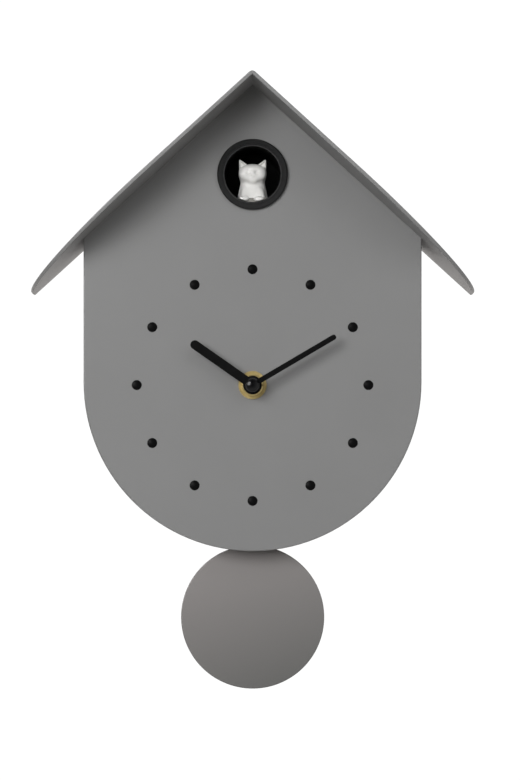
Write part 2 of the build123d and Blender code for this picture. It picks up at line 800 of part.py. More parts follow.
def cat_figure():
    """Sitting white cat on a peg: one turned body and head, ears, muzzle and fore paws."""
    dome = figure_height - cheek_rise
    profile = Spline(
        (figure_base, 0), (figure_base * 0.96, neck_rise * 0.27), (figure_waist, neck_rise),
        (figure_head, cheek_rise), (figure_head * 0.74, cheek_rise + dome * 0.76), (0, figure_height),
        tangents=[(0, 1), (-1, 0)],
    )
    axis_line = Polyline((0, figure_height), (0, 0), (figure_base, 0))
    cat = revolve(Plane.XZ * make_face(profile.edges() + axis_line.edges()), Axis.Z)
    for side in (1, -1):
        cat += cat_ear(side)
        cat += Pos(side * paw_spread, sled_front - figure_y + paw_radius, paw_rise) * Sphere(paw_radius)
    cat += Pos(0, muzzle_radius / 2 - figure_head, muzzle_rise) * Sphere(muzzle_radius)
    peg = figure_waist / 4
    depth = (sled_top - window_rise + sled_radius) / 2
    cat -= Pos(0, 0, -figure_base) * Box(4 * figure_base, 4 * figure_base, 2 * figure_base)
    cat += Pos(0, 0, -depth / 2) * Cylinder(peg, depth)
    return Pos(0, figure_y, sled_top) * cat


def drive_gear():
    """Pinion under the rack and the wheel beside the tunnel, moulded on one hub."""
    half = rack_width / 2
    hub = window_rise - tunnel_outer - fit_gap - axle_z
    centre = Pos(axle_y, axle_z)
    pinion = gear_outline(drive_pinion_teeth, rack_module, pi / 2)
    wheel = gear_outline(drive_wheel_teeth, rack_module, -pi / 2)
    solid = along_x(centre * pinion, -half, half)
    solid += rod_x(hub, half, drive_wheel_right, axle_y, axle_z)
    solid += along_x(centre * wheel, drive_wheel_left, drive_wheel_right)
    return solid - rod_x(axle_radius + run_gap, -half, drive_wheel_right, axle_y, axle_z)


def gear_axle():
    left = -cheek_left - frame_wall
    return rod_x(axle_radius, left, cheek_right + frame_wall, axle_y, axle_z)


def drive_frame():
    """Moulded bracket on the panel's studs, with two cheeks for the axle and the motor."""
    left, right = stud_xs
    plate = block(left - nut_flat, right + nut_flat, panel_back, frame_back, frame_bottom, frame_top)
    for x in stud_xs:
        plate -= rod_y(stud_radius + fit_gap, panel_back, frame_back, x, stud_z)
    reach = axle_y + motor_radius
    tall = axle_z + 3 * axle_radius
    for x in (-cheek_left - frame_wall, cheek_right):
        top = tall if x > 0 else min(tall, frame_top)
        plate += block(x, x + frame_wall, frame_back, reach, frame_bottom, top)
    plate += block(
        -cheek_left - frame_wall, cheek_right + frame_wall, frame_back, reach,
        frame_bottom, frame_bottom + frame_wall,
    )
    plate += rod_x(3 * axle_radius, -cheek_left - frame_wall, -cheek_left, axle_y, axle_z)
    plate -= rod_y(tunnel_outer + fit_gap, panel_back, reach, 0, window_rise)
    plate -= rod_x(axle_radius + press_gap, -cheek_left - frame_wall, motor_left, axle_y, axle_z)
    return plate - rod_x(motor_pitch, cheek_right, motor_left, axle_y, motor_z)


def figure_motor():
    """Small can motor held on the right cheek, with its end bell."""
    can = rod_x(motor_radius, motor_left, motor_left + motor_length, axle_y, motor_z)
    can = chamfer(can.edges().sort_by(Axis.X)[-1], motor_radius / 8)
    bell = motor_radius / 3
    can += rod_x(bell, motor_left + motor_length, motor_left + motor_length + bell, axle_y, motor_z)
    return can - rod_x(axle_radius + run_gap, motor_left, motor_left + motor_length / 2, axle_y, motor_z)


def motor_pinion():
    outline = Pos(axle_y, motor_z) * gear_outline(
        motor_pinion_teeth, rack_module, pi / 2 + pi / motor_pinion_teeth
    )
    pinion = along_x(outline, drive_wheel_left - side_gap, drive_wheel_right + side_gap)
    return pinion + rod_x(axle_radius, drive_wheel_right, motor_left + motor_length / 3, axle_y, motor_z)


def panel_studs():
    return group([rod_y(stud_radius, panel_back, panel_back + stud_length, x, stud_z) for x in stud_xs])


def stud_nuts():
    hexagon = RegularPolygon(nut_flat / 2, 6, major_radius=False) - Circle(stud_radius + press_gap)
    return group([
        slab(Pos(x, stud_z) * hexagon, frame_back, frame_back + nut_thick) for x in stud_xs
    ])


# Sound unit

def standoff_places():
    reach_x = board_width / 2 - board_margin
    reach_z = board_height / 2 - board_margin
    return [(board_x + i * reach_x, board_z + j * reach_z) for i in (1, -1) for j in (1, -1)]


def board_standoffs():
    posts = []
    for x, z in standoff_places():
        posts.append(tube_y(standoff_radius, board_screw_radius + press_gap, board_back, back_inside, x, z))
    return group(posts)


def board_screws():
    screws = []
    head = board_front - board_screw_radius
    for x, z in standoff_places():
        screw = rod_y(board_screw_radius, board_front, back_inside + back_sheet / 2, x, z)
        screws.append(screw + rod_y(2 * board_screw_radius, head, board_front, x, z))
    return group(screws)


def sound_board():
    board = slab(Pos(board_x, board_z) * Rectangle(board_width, board_height), board_front, board_back)
    for x, z in standoff_places():
        board -= rod_y(board_screw_radius + fit_gap, board_front, board_back, x, z)
    return board


def board_components():
    """Sound chip, two capacitors and three plugs, soldered to the board's room side."""
    chip_x, chip_z = board_x + board_width * 0.1, board_z
    chip = board_height / 3
    parts = [block(
        chip_x - chip / 2, chip_x + chip / 2, board_front - board_thick, board_front,
        chip_z - chip / 2, chip_z + chip / 2,
    )]
    can_radius = board_height / 10
    for n in (0, 1):
        x = board_x - board_width * (0.12 + 0.16 * n)
        parts.append(rod_y(can_radius, board_front - 3 * can_radius, board_front, x, board_z))
    plug = board_height / 6
    for n in (-1, 0, 1):
        x = board_x + n * 2 * plug
        z = board_z + board_height / 2 - plug
        parts.append(block(
            x - plug / 2, x + plug / 2, board_front - plug, board_front, z - plug / 2, z + plug / 2
        ))
    return group(parts)


def switch_body():
    """Housing of the slide switch, soldered to the board's wall side."""
    far = back_inside - side_gap
    slot_long = switch_travel + lever_half + fit_gap
    slot_tall = lever_tall / 2 + fit_gap / 2
    body_long = slot_long + switch_wall
    body_tall = slot_tall + switch_wall
    body = block(
        switch_x - body_long, switch_x + body_long, board_back, far,
        switch_z - body_tall, switch_z + body_tall,
    )
    return body - block(
        switch_x - slot_long, switch_x + slot_long, far - lever_root, far,
        switch_z - slot_tall, switch_z + slot_tall,
    )


def volume_switch():
    """Slide switch's lever, reached through the slot in the back panel."""
    root = back_inside - side_gap - lever_root + run_gap
    return block(
        switch_x - lever_half, switch_x + lever_half, root, -side_gap,
        switch_z - lever_tall / 2, switch_z + lever_tall / 2,
    )


def speaker_frame():
    """Pressed basket whose rim clamps the cone's edge to the back panel."""
    inner = speaker_magnet_radius * 0.8
    rim = back_inside - cone_paper
    bottom = back_inside - speaker_depth
    wall = speaker_wall
    profile = [
        (speaker_radius, rim), (speaker_radius, rim - wall),
        (speaker_radius - 3 * wall, rim - wall), (inner + wall, bottom), (0, bottom),
        (0, bottom + wall), (inner, bottom + wall), (speaker_radius - 4 * wall, rim),
    ]
    return turned_y(profile, speaker_x, speaker_z)


def speaker_magnet():
    far = back_inside - speaker_depth
    return rod_y(speaker_magnet_radius, far - speaker_magnet_height, far, speaker_x, speaker_z)


def speaker_cone():
    """Paper cone with its dust cap and flat edge."""
    edge = speaker_radius - speaker_wall
    mouth = speaker_radius - 5 * speaker_wall
    throat = speaker_magnet_radius / 2
    deep = back_inside - speaker_depth * 0.6
    cap = deep + 2 * speaker_wall
    profile = [
        (edge, back_inside), (mouth, back_inside), (throat, deep), (0, cap),
        (0, cap - cone_paper), (throat, deep - cone_paper), (mouth, back_inside - cone_paper),
        (edge, back_inside - cone_paper),
    ]
    return turned_y(profile, speaker_x, speaker_z)


# Batteries

def cell_places():
    first = battery_x - cell_pitch * (cell_count - 1) / 2
    return [first + n * cell_pitch for n in range(cell_count)]


def battery_holder():
    """Open tray behind the back panel, held by a flange above and below."""
    outer = Rectangle(holder_width, holder_height)
    inner = Rectangle(holder_inner_width, holder_inner_height)
    flange = Rectangle(holder_width, holder_height + 2 * holder_flange)
    centre = Pos(battery_x, battery_z)
    tray = slab(centre * outer, holder_front, back_inside)
    tray += slab(centre * flange, back_inside - holder_wall, back_inside)
    return tray - slab(centre * inner, holder_floor, back_inside)


def battery_cells():
    """Two round cells, heads at opposite ends."""
    cells = []
    nub = cell_radius * 0.38
    for n, x in enumerate(cell_places()):
        side = 1 if n % 2 == 0 else -1
        can = Cylinder(cell_radius, cell_length - cell_cap)
        can = fillet(can.edges().filter_by(GeomType.CIRCLE), cell_radius / 12)
        cap = Pos(0, 0, side * (cell_length - cell_cap) / 2) * Cylinder(nub, 2 * cell_cap)
        cells.append(Pos(x, cell_y, battery_z - side * cell_cap / 2) * (can + cap))
    return group(cells)


def battery_contacts():
    """Bent leaf contacts, one at each end of each cell."""
    leaves = []
    wide = cell_radius
    far = cell_y + cell_radius / 2
    near = holder_floor
    for x in cell_places():
        for side in (1, -1):
            wall = battery_z + side * holder_inner_height / 2
            foot = wall - side * contact_sheet
            touch = battery_z + side * cell_length / 2
            plate = Polyline((near, wall), (far, wall), (far, foot), (near, foot), close=True)
            spring = Polyline(
                (far, wall), (far, foot - side * contact_sheet), (cell_y, touch),
                (cell_y, touch + side * contact_sheet), close=True,
            )
            leaf = make_face(plate) + make_face(spring)
            leaves.append(along_x(leaf, x - wide / 2, x + wide / 2))
    return group(leaves)


def battery_door():
    """Push-fit cover: a plate on the tray's rim, and a skirt that grips its mouth."""
    centre = Pos(battery_x, battery_z)
    plate = centre * Rectangle(holder_width - 2 * door_gap, holder_height - 2 * door_gap)
    skirt_width = holder_inner_width - 2 * door_gap
    skirt_height = holder_inner_height - 2 * door_gap
    skirt = Rectangle(skirt_width, skirt_height)
    skirt -= Rectangle(skirt_width - 2 * door_rim, skirt_height - 2 * door_rim)
    door = slab(plate, back_inside, 0) + slab(centre * skirt, back_inside - door_rim_depth, back_inside)
    grip = holder_width / 3
    edge = battery_z + holder_height / 2 - door_gap
    notch = block(
        battery_x - grip / 2, battery_x + grip / 2, -back_sheet / 2, 0, edge - holder_wall, edge
    )
    return door - notch


PIECES = [
    front_panel, side_band, roof, back_panel, back_tabs, back_screws,
    hour_markers, hour_hand, minute_hand, hand_cap, arbor_washer, arbor_nut,
    panel_gasket, centre_bush, movement_case, movement_cover, minute_arbor, hour_wheel,
    minute_wheel, setting_knob, stepper_module, movement_board, pendulum_coil,
    pendulum_pivot, pivot_clip, pendulum_hanger, pendulum_magnet, pendulum_rod, pendulum_bob,
    bob_clips, window_tunnel, tunnel_retainer, figure_sled, cat_figure, drive_gear, gear_axle,
    drive_frame, figure_motor, motor_pinion, panel_studs, stud_nuts,
    board_standoffs, board_screws, sound_board, board_components, switch_body, volume_switch,
    speaker_frame, speaker_magnet, speaker_cone,
    battery_holder, battery_cells, battery_contacts, battery_door,
]

os.makedirs("parts", exist_ok=True)
for piece in PIECES:
    export_step(place(piece()), f"parts/{piece.__name__}.step")
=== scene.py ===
import json
import math

import bmesh
import bpy
import numpy as np
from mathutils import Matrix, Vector


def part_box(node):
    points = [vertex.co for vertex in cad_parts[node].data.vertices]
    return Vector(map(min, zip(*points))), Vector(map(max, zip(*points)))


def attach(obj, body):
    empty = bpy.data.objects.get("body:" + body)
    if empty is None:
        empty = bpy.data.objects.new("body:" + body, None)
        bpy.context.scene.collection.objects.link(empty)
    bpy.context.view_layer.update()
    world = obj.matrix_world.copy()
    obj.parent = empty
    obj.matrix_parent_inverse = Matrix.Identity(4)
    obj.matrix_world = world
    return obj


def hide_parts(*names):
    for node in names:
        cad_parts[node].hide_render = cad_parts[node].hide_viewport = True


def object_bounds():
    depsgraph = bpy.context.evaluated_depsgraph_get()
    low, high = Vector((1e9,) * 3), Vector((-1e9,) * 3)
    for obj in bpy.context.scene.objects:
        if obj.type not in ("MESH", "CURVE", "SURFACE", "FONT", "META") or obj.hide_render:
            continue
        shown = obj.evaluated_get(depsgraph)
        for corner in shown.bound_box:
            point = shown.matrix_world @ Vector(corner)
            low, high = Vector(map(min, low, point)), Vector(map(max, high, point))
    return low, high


# A grey steel cuckoo clock, seen from the front against white. Lengths are in metres.

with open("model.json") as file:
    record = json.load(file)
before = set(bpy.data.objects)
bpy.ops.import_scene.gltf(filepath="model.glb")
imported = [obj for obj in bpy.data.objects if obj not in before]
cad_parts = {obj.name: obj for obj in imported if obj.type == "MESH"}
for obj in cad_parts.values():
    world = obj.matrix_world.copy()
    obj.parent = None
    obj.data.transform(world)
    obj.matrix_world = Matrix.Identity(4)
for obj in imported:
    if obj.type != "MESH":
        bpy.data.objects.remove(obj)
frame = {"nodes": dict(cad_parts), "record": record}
cad_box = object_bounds()
nodes = frame["nodes"]
scene = bpy.context.scene

MM = 0.001

# Camera of the photograph, level and square to the wall
CAMERA_PLACE = (0.0041, -1.355, -0.1457)
CAMERA_LENS = 109.1        # millimetres, for a 36 mm long side
SENSOR_LONG_SIDE = 36.0

# Soft boxes: degrees to the right of the camera, degrees up, size, watts, and what shows the light
SOFT_BOXES = {
    "key": (-22, 14, 0.7, 15.5, "diffuse"),
    "fill": (20, 25, 1.2, 7.2, "diffuse"),
    "low": (-16, 8, 0.7, 4.0, "diffuse"),
    "glint": (-62, 24, 1.6, 58.0, "gloss"),
}
SOFT_BOX_REACH = 1.7       # from the washer under the hands

# White room: the way each wall lies, its strength and its tint
ROOM_WALLS = [
    ((1, 0, 0), 0.50, (1.0, 1.0, 1.0)),
    ((-1, 0, 0), 0.17, (1.0, 1.0, 1.0)),
    ((0, 1, 0), 1.28, (1.0, 0.96, 0.94)),
    ((0, 0, -1), 0.56, (1.0, 0.98, 0.95)),
]
WALL_FALL = 2.0            # power of the cosine by which a wall's light falls off
BACKDROP_STRENGTH = 1.05

FLOOR_DROP = 1.0           # below the pendulum
FLOOR_RADIUS = 1.5
FLOOR_SIDES = 96
FLOOR_WHITE = (0.9, 0.9, 0.9)
FLOOR_GLOW = 0.55

# Colours of the coats, linear
COAT_GREY = (0.24, 0.24, 0.2395)
# Painted light and shade on the disc: lit and warm at the top left, shaded and cool at the foot
BOB_PAINTED_LIT = (0.285, 0.268, 0.263)
BOB_PAINTED_SHADE = (0.1526, 0.151, 0.146)
BOB_SHADE_FALL = (0.316, 0.0, -0.949)        # the way the disc's painted shade runs from the lit warm tone to the shaded cool one

# Inner lip of the bezel, and its bore
LIP_RADIUS = 16.1 * MM
LIP_BLEND = 0.3 * MM
LIP_DEPTH = 0.8 * MM
BORE_DEPTH = 4 * LIP_DEPTH             # where the painted shade in the bore is at its darkest
LIP_PAINTED_HIGHLIGHT, BORE_PAINTED_SHADE = 2.3, 0.6          # painted highlight on the lip and painted shade in the bore, with the face at 1
LIP_FACE = (1.0 - BORE_PAINTED_SHADE) / (LIP_PAINTED_HIGHLIGHT - BORE_PAINTED_SHADE)

# Brass washer and nut, by radius
BRASS_METALLIC = 0.62
TURNING_PITCH = 0.2 * MM
# Painted shade over the brass near the nut, where the hands and their cap shade it
PAINTED_SHADE_INSIDE, PAINTED_SHADE_OUTSIDE = 4.4 * MM, 6.5 * MM
RIM_INSIDE, RIM_OUTSIDE = 6.9 * MM, 7.6 * MM
RIM_SHADE = 0.72

WIRE_PITCH = 0.22 * MM
TRACK_LENGTH, TRACK_SPACING, TRACK_WIDTH = 6.4 * MM, 1.9 * MM, 0.28 * MM
CELL_BAND, CELL_BAND_EDGE = 13 * MM, 0.2 * MM


# Node helpers

class Finish:
    """One Principled material, with short calls for the nodes that vary it over the surface."""

    def __init__(self, name, colour, roughness, **sockets):
        self.material = bpy.data.materials.new(name)
        self.material.use_nodes = True
        self.tree = self.material.node_tree
        self.tree.nodes.clear()
        output = self.tree.nodes.new("ShaderNodeOutputMaterial")
        self.shader = self.tree.nodes.new("ShaderNodeBsdfPrincipled")
        self.tree.links.new(self.shader.outputs[0], output.inputs["Surface"])
        self.shader.inputs["Base Color"].default_value = (*colour, 1.0)
        self.shader.inputs["Roughness"].default_value = roughness
        for socket, value in sockets.items():
            self.shader.inputs[socket.replace("_", " ")].default_value = value
        self.colour = colour
        self.place = self.tree.nodes.new("ShaderNodeTexCoord").outputs["Object"]

    def add(self, kind, **inputs):
        node = self.tree.nodes.new(kind)
        for socket, value in inputs.items():
            self.put(value, node.inputs[socket.replace("_", " ")])
        return node

    def put(self, value, socket):
        """Sets a socket to a plain value, or links it to another socket."""
        if isinstance(value, bpy.types.NodeSocket):
            self.tree.links.new(value, socket)
        else:
            socket.default_value = value

    def along(self, axis):
        """Object coordinate along x (0), y (1) or z (2)."""
        return self.add("ShaderNodeSeparateXYZ", Vector=self.place).outputs[axis]

    def stretched(self, scale):
        """Object coordinates, scaled along each axis."""
        return self.add("ShaderNodeMapping", Vector=self.place, Scale=scale).outputs[0]

    def noise(self, grain, detail=2.0, vector=None):
        """Noise with features of about grain metres, between 0 and 1."""
        vector = self.place if vector is None else vector
        node = self.add("ShaderNodeTexNoise", Vector=vector, Scale=1.0 / grain, Detail=detail)
        return node.outputs["Fac"]

    def between(self, factor, low, high, start=0.3, end=0.7):
        """Maps a factor from start..end to low..high, held at the ends."""
        node = self.add("ShaderNodeMapRange", Value=factor)
        ends = {"From Min": start, "From Max": end, "To Min": low, "To Max": high}
        for socket, value in ends.items():
            node.inputs[socket].default_value = value
        return node.outputs[0]

    def maths(self, operation, first, second):
        node = self.tree.nodes.new("ShaderNodeMath")
        node.operation = operation
        self.put(first, node.inputs[0])
        self.put(second, node.inputs[1])
        return node.outputs[0]

    def waves(self, distance, pitch):
        """Smooth ridges, one to each pitch of a distance, between 0 and 1."""
        angle = self.maths("MULTIPLY", distance, 2 * math.pi / pitch)
        return self.between(self.maths("SINE", angle, 0.0), 0.0, 1.0, start=-1.0, end=1.0)

    def shade(self, factor, first, second):
        """Colours the surface between two colours."""
        node = self.tree.nodes.new("ShaderNodeMix")
        node.data_type = "RGBA"
        self.put(factor, node.inputs["Factor"])
        node.inputs["A"].default_value = (*first, 1.0)
        node.inputs["B"].default_value = (*second, 1.0)
        self.put(node.outputs["Result"], self.shader.inputs["Base Color"])

    def tint(self, factor, dark, light):
        """Colours the surface between two shades of its own colour."""
        self.shade(factor, [c * dark for c in self.colour], [c * light for c in self.colour])

    def cloud(self, factor, dark, light):
        """Tints the surface by a noise."""
        self.tint(self.between(factor, 0.0, 1.0), dark, light)

    def radius(self, centre):
        """Distance from an axis along y through centre."""
        offset = self.add("ShaderNodeVectorMath", Vector=self.place)
        offset.inputs[1].default_value = [-c for c in centre]
        x, _, z = self.add("ShaderNodeSeparateXYZ", Vector=offset.outputs[0]).outputs
        square = self.maths("ADD", self.maths("POWER", x, 2.0), self.maths("POWER", z, 2.0))
        return self.maths("SQRT", square, 0.0)

    def rough(self, factor, low, high):
        self.put(self.between(factor, low, high), self.shader.inputs["Roughness"])

    def bump(self, height, depth):
        """Raises the surface by up to depth metres, where height runs from 0 to 1."""
        node = self.add("ShaderNodeBump", Height=height, Distance=depth, Strength=1.0)
        self.put(node.outputs[0], self.shader.inputs["Normal"])


# Materials

def orange_peel(coat):
    """The fine texture of a powder coat, in its sheen and its bump."""
    peel = coat.noise(grain=1.1 * MM, detail=3.0)
    coat.rough(peel, low=0.42, high=0.52)
    coat.bump(peel, depth=0.001 * MM)


def powder_coat(name, colour):
    """Fine matte powder coat: a faint orange peel and a cloudy tone."""
    coat = Finish(name, colour, roughness=0.6, Specular_IOR_Level=0.35)
    coat.cloud(coat.noise(grain=38 * MM, detail=4.0), dark=0.985, light=1.015)
    orange_peel(coat)
    return coat.material


def painted_shade_coat(name, lit_tone, shaded_tone, centre, reach):
    """Powder coat with painted light and shade: a lit warm tone at the top falls to a shaded cool
    one at the foot.
    """
    coat = Finish(name, lit_tone, roughness=0.6, Specular_IOR_Level=0.35)
    offset = coat.add("ShaderNodeVectorMath", Vector=coat.place)
    offset.operation = "SUBTRACT"
    offset.inputs[1].default_value = centre
    slope = coat.add("ShaderNodeVectorMath", Vector=offset.outputs[0])
    slope.operation = "DOT_PRODUCT"
    slope.inputs[1].default_value = BOB_SHADE_FALL
    # painted shade: the tone falls from lit to shaded down the disc
    coat.shade(coat.between(slope.outputs["Value"], 0.0, 1.0, start=-reach, end=reach), lit_tone, shaded_tone)
    orange_peel(coat)
    return coat.material


def moulded(name, colour, roughness, grain, depth, sheen=0.5):
    """Moulded plastic with a spark-eroded grain and flow clouding."""
    plastic = Finish(name, colour, roughness, Specular_IOR_Level=sheen)
    pits = plastic.noise(grain, detail=2.0)
    plastic.cloud(plastic.noise(grain=14 * MM, detail=3.0), dark=0.92, light=1.08)
    plastic.rough(pits, low=roughness - 0.07, high=roughness + 0.07)
    plastic.bump(pits, depth)
    return plastic.material


def ring_plastic(name, colour, centre, lip, front):
    """Moulded black ring with a painted highlight on its inner lip, paler than its face, and
    painted shade darkening its bore.
    """
    plastic = Finish(name, colour, roughness=0.5, Specular_IOR_Level=0.3)
    pits = plastic.noise(grain=0.4 * MM, detail=2.0)
    # Painted shade deepening down the bore, and a painted highlight on the inner lip
    bore_shade = plastic.between(
        plastic.along(1), 1.0, 0.0, start=front + LIP_DEPTH, end=front + BORE_DEPTH
    )
    face = plastic.between(plastic.radius(centre), 0.0, 1.0, start=lip, end=lip + LIP_BLEND)
    lip_highlight = plastic.maths("MULTIPLY", face, plastic.maths("SUBTRACT", LIP_FACE, bore_shade))
    plastic.tint(plastic.maths("ADD", bore_shade, lip_highlight), BORE_PAINTED_SHADE, LIP_PAINTED_HIGHLIGHT)
    plastic.rough(pits, low=0.44, high=0.56)
    plastic.bump(pits, depth=0.006 * MM)
    return plastic.material


def gloss(name, colour, roughness, coat, sheen):
    """Polished plastic or glaze, slightly wavy, with faint handling marks in its sheen."""
    glaze = Finish(
        name, colour, roughness, Coat_Weight=coat, Coat_Roughness=0.1, Specular_IOR_Level=sheen
    )
    wave = glaze.noise(grain=3.5 * MM, detail=1.0)
    marks = glaze.noise(grain=1.1 * MM, detail=4.0)
    glaze.cloud(wave, dark=0.97, light=1.02)
    glaze.rough(marks, low=roughness - 0.04, high=roughness + 0.06)
    glaze.bump(wave, depth=0.03 * MM)
    return glaze.material


def lacquer(name, colour):
    """Satin black lacquer on blanked sheet: broad clouds under a fine spray texture."""
    satin = Finish(name, colour, roughness=0.5, Specular_IOR_Level=0.1)
    spray = satin.noise(grain=0.25 * MM, detail=2.0)
    satin.cloud(satin.noise(grain=4 * MM, detail=3.0), dark=0.85, light=1.25)
    satin.rough(spray, low=0.44, high=0.56)
    satin.bump(spray, depth=0.006 * MM)
    return satin.material


def turned_metal(name, colour, roughness, centre):
    """Lathe-turned metal gone dull: faint rings about an axis along y, patches, painted shade
    darkening it towards the axis, and a dark rim.
    """
    metal = Finish(name, colour, roughness, Metallic=BRASS_METALLIC)
    radius = metal.radius(centre)
    dull = metal.noise(grain=2.5 * MM, detail=3.0)
    # painted shade, darker towards the axis
    hub_shade = metal.between(radius, 0.0, 1.0, start=PAINTED_SHADE_INSIDE, end=PAINTED_SHADE_OUTSIDE)
    rim = metal.between(radius, 1.0, RIM_SHADE, start=RIM_INSIDE, end=RIM_OUTSIDE)
    patches = metal.maths("MULTIPLY", rim, metal.between(dull, 0.8, 1.0))
    metal.tint(metal.maths("MULTIPLY", hub_shade, patches), dark=0.42, light=1.04)
    metal.rough(dull, low=roughness - 0.04, high=roughness + 0.06)
    metal.bump(metal.waves(radius, TURNING_PITCH), depth=0.0003 * MM)
    return metal.material


def drawn_metal(name, colour, roughness, stretch=(1.0, 1.0, 0.04)):
    """Bright drawn or rolled metal with lines along one axis."""
    metal = Finish(name, colour, roughness, Metallic=1.0)
    lines = metal.noise(grain=0.25 * MM, detail=3.0, vector=metal.stretched(stretch))
    metal.cloud(metal.noise(grain=5 * MM, detail=4.0), dark=0.86, light=1.06)
    metal.rough(lines, low=roughness - 0.08, high=roughness + 0.1)
    metal.bump(lines, depth=0.005 * MM)
    return metal.material


def circuit(name, colour):
    """Solder-masked board with copper tracks showing through as paler lines."""
    board = Finish(name, colour, roughness=0.32, Coat_Weight=0.4)
    flat = board.stretched((1.0, 0.0, 1.0))
    tracks = board.add(
        "ShaderNodeTexBrick", Vector=flat, Scale=1.0,
        Brick_Width=TRACK_LENGTH, Row_Height=TRACK_SPACING, Mortar_Size=TRACK_WIDTH,
    ).outputs["Fac"]
    board.tint(tracks, dark=0.9, light=1.9)
    board.bump(tracks, depth=0.03 * MM)
    return board.material


def cell_jacket(name, colour):
    """Shrink film round a cell: a bright band at the head over a plain dark jacket."""
    film = Finish(name, colour, roughness=0.28, Metallic=0.6)
    _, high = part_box("battery_cells")
    start = high.z - CELL_BAND
    band = film.between(film.along(2), 0.0, 1.0, start, end=start + CELL_BAND_EDGE)
    film.tint(band, dark=1.0, light=5.0)
    ripple = film.noise(grain=2.2 * MM, detail=2.0)
    film.rough(ripple, low=0.22, high=0.36)
    film.bump(ripple, depth=0.01 * MM)
    return film.material


def pressed_paper(name, colour):
    """Speaker cone: pulp fibres in rough black paper."""
    paper = Finish(name, colour, roughness=0.9, Sheen_Weight=0.2)
    fibre = paper.noise(grain=0.5 * MM, detail=5.0)
    paper.cloud(fibre, dark=0.6, light=1.6)
    paper.bump(fibre, depth=0.05 * MM)
    return paper.material


def winding(name, colour):
    """Enamelled wire laid round a spool."""
    wire = Finish(name, colour, roughness=0.3, Metallic=0.9)
    turns = wire.waves(wire.along(1), WIRE_PITCH)
    wire.tint(turns, dark=0.5, light=1.1)
    wire.bump(turns, depth=0.05 * MM)
    return wire.material


hub_low, hub_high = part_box("arbor_washer")
hub = (hub_low + hub_high) / 2
retainer_low, retainer_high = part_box("tunnel_retainer")
window = (retainer_low + retainer_high) / 2
tunnel_low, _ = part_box("window_tunnel")
disc_low, disc_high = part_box("pendulum_bob")
disc = (disc_low + disc_high) / 2
disc_radius = (disc_high.x - disc_low.x) / 2

# What makes each material slot, and its settings
SLOTS = {
    "grey_coat": (powder_coat, dict(colour=COAT_GREY)),
    "bob_coat": (painted_shade_coat, dict(lit_tone=BOB_PAINTED_LIT, shaded_tone=BOB_PAINTED_SHADE, centre=disc, reach=disc_radius)),
    "black_coat": (lacquer, dict(colour=(0.0036, 0.0036, 0.0038))),
    "pin_black": (moulded, dict(
        colour=(0.0048, 0.0048, 0.005), roughness=0.5, grain=0.3 * MM, depth=0.004 * MM, sheen=0.05
    )),
    "cap_black": (gloss, dict(
        colour=(0.0055, 0.0055, 0.006), roughness=0.13, coat=0.0, sheen=0.28
    )),
    "bezel_black": (ring_plastic, dict(
        colour=(0.0166, 0.0166, 0.0169), centre=window, lip=LIP_RADIUS, front=tunnel_low.y
    )),
    "white_gloss": (gloss, dict(colour=(0.825, 0.82, 0.795), roughness=0.36, coat=0.35, sheen=0.5)),
    "sled_grey": (moulded, dict(
        colour=(0.25, 0.245, 0.225), roughness=0.5, grain=0.35 * MM, depth=0.006 * MM, sheen=0.3
    )),
    "brass": (turned_metal, dict(colour=(0.88, 0.69, 0.30), roughness=0.32, centre=hub)),
    "steel": (drawn_metal, dict(colour=(0.40, 0.40, 0.41), roughness=0.34)),
    "back_board": (moulded, dict(
        colour=(0.03, 0.03, 0.032), roughness=0.55, grain=0.5 * MM, depth=0.02 * MM
    )),
    "dark_plastic": (moulded, dict(
        colour=(0.04, 0.04, 0.043), roughness=0.45, grain=0.4 * MM, depth=0.012 * MM
    )),
    "gear_plastic": (moulded, dict(
        colour=(0.78, 0.77, 0.71), roughness=0.38, grain=0.35 * MM, depth=0.006 * MM
    )),
    "rubber": (moulded, dict(
        colour=(0.018, 0.018, 0.018), roughness=0.8, grain=0.25 * MM, depth=0.02 * MM
    )),
    "circuit": (circuit, dict(colour=(0.02, 0.10, 0.045))),
    "components": (moulded, dict(
        colour=(0.03, 0.03, 0.034), roughness=0.4, grain=0.3 * MM, depth=0.008 * MM
    )),
    "copper": (winding, dict(colour=(0.55, 0.24, 0.11))),
    "magnet": (drawn_metal, dict(
        colour=(0.24, 0.24, 0.25), roughness=0.4, stretch=(1.0, 1.0, 1.0)
    )),
    "motor_can": (drawn_metal, dict(
        colour=(0.6, 0.59, 0.57), roughness=0.26, stretch=(0.04, 1.0, 1.0)
    )),
    "paper": (pressed_paper, dict(colour=(0.04, 0.04, 0.04))),
    "cell_jacket": (cell_jacket, dict(colour=(0.06, 0.065, 0.07))),
}
finishes = {slot: make(slot, **settings) for slot, (make, settings) in SLOTS.items()}
for subpart in frame["record"]["subparts"]:
    node = nodes[subpart["node"]]
    node.data.materials.clear()
    node.data.materials.append(finishes[subpart["material_slot"]])


# Sculpting by distance fields, in millimetres

def ball(points, centre, radii):
    """Distance to an ellipsoid."""
    offset = points - np.array(centre, float)
    near = np.linalg.norm(offset / radii, axis=-1)
    slope = np.linalg.norm(offset / np.square(radii), axis=-1)
    return near * (near - 1.0) / np.maximum(slope, 1e-9)


def limb(points, start, end, start_radius, end_radius, flat=1.0):
    """Distance to a tapered round limb, thinner from front to back where flat is over 1."""
    squeeze = np.array([1.0, flat, 1.0])
    start, end = np.array(start, float) * squeeze, np.array(end, float) * squeeze
    offset = points * squeeze - start
    axis = end - start
    share = np.clip(offset @ axis / (axis @ axis), 0.0, 1.0)
    gap = np.linalg.norm(offset - share[..., None] * axis, axis=-1)
    return (gap - start_radius - share * (end_radius - start_radius)) / flat


def joined(first, second, reach):
    """Two forms run together over a fillet of about reach."""
    share = np.clip(0.5 + 0.5 * (second - first) / reach, 0.0, 1.0)
    return second + share * (first - second) - reach * share * (1.0 - share)


